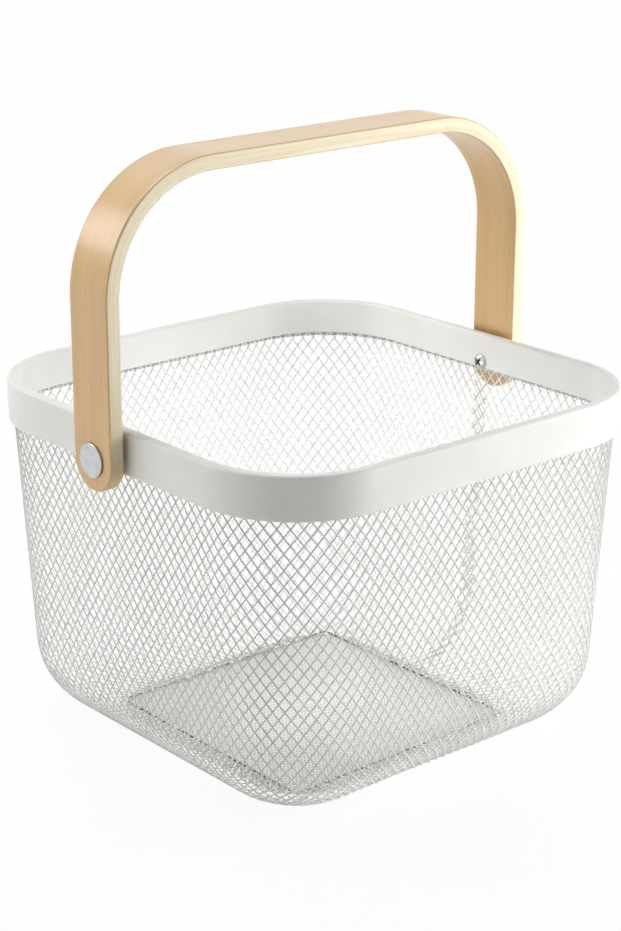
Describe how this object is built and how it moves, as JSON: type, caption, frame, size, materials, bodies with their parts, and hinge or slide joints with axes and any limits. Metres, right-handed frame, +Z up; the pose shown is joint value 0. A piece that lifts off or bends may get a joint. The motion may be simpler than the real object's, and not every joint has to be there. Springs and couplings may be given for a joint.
{
  "type": "wire mesh basket",
  "caption": "Square carrying basket of white wire mesh with a folded steel rim, drawn-in rounded foot and a bent wood strap handle that swings over the rim.",
  "frame": {"origin": "on the floor, under the middle of the basket", "axes": "+Z up; X runs from pivot to pivot, along the handle's span; Y runs front to back, the way the handle swings"},
  "size_m": [0.2692, 0.245, 0.301],
  "materials": {
    "powder_coat": "satin white powder coat on steel",
    "birch": "clear lacquered bent birch, paler at the edges",
    "bright_steel": "bright zinc plated steel",
    "nylon": "plain grey nylon"
  },
  "bodies": {
    "basket": {"rim_band": "powder_coat", "wall_wires_outer": "powder_coat", "wall_wires_inner": "powder_coat", "base_wires_lower": "powder_coat", "base_wires_upper": "powder_coat", "right_cap_nut": "bright_steel", "right_screw": "bright_steel", "right_spacer_washer": "nylon", "left_cap_nut": "bright_steel", "left_screw": "bright_steel", "left_spacer_washer": "nylon"},
    "handle": {"handle": "birch"}
  },
  "joints": [
    {"name": "handle_swing", "type": "hinge", "parent": "basket", "child": "handle", "pos_m": [0, 0, 0.1655], "axis": [1, 0, 0], "range_deg": [-105, 105]}
  ]
}
